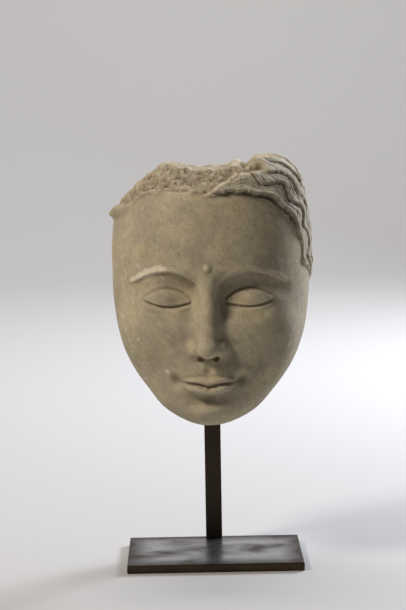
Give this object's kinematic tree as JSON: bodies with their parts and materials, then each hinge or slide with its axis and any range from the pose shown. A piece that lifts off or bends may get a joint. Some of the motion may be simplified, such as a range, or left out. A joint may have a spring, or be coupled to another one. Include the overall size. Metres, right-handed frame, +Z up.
{
  "type": "sculpture head on stand",
  "caption": "Modelled stucco head of a meditating figure with closed eyes and wavy locks, broken off above the brow and behind, on a flat steel post and base plate.",
  "frame": {"origin": "middle of the base plate's underside, which stands on the floor", "axes": "+Z up along the post, the face looks along -Y, +X to the viewer's right, along the plate's long side"},
  "size_m": [0.1463, 0.1242, 0.2939],
  "materials": {
    "stucco": "matte buff lime stucco, smooth but worn skin and granular broken faces",
    "post_steel": "satin dark brown patinated and waxed steel bar",
    "plate_steel": "satin dark patinated and waxed steel plate, worn brighter on top"
  },
  "bodies": {
    "root": {"stucco_head": "stucco", "post": "post_steel", "base_plate": "plate_steel"}
  },
  "joints": []
}
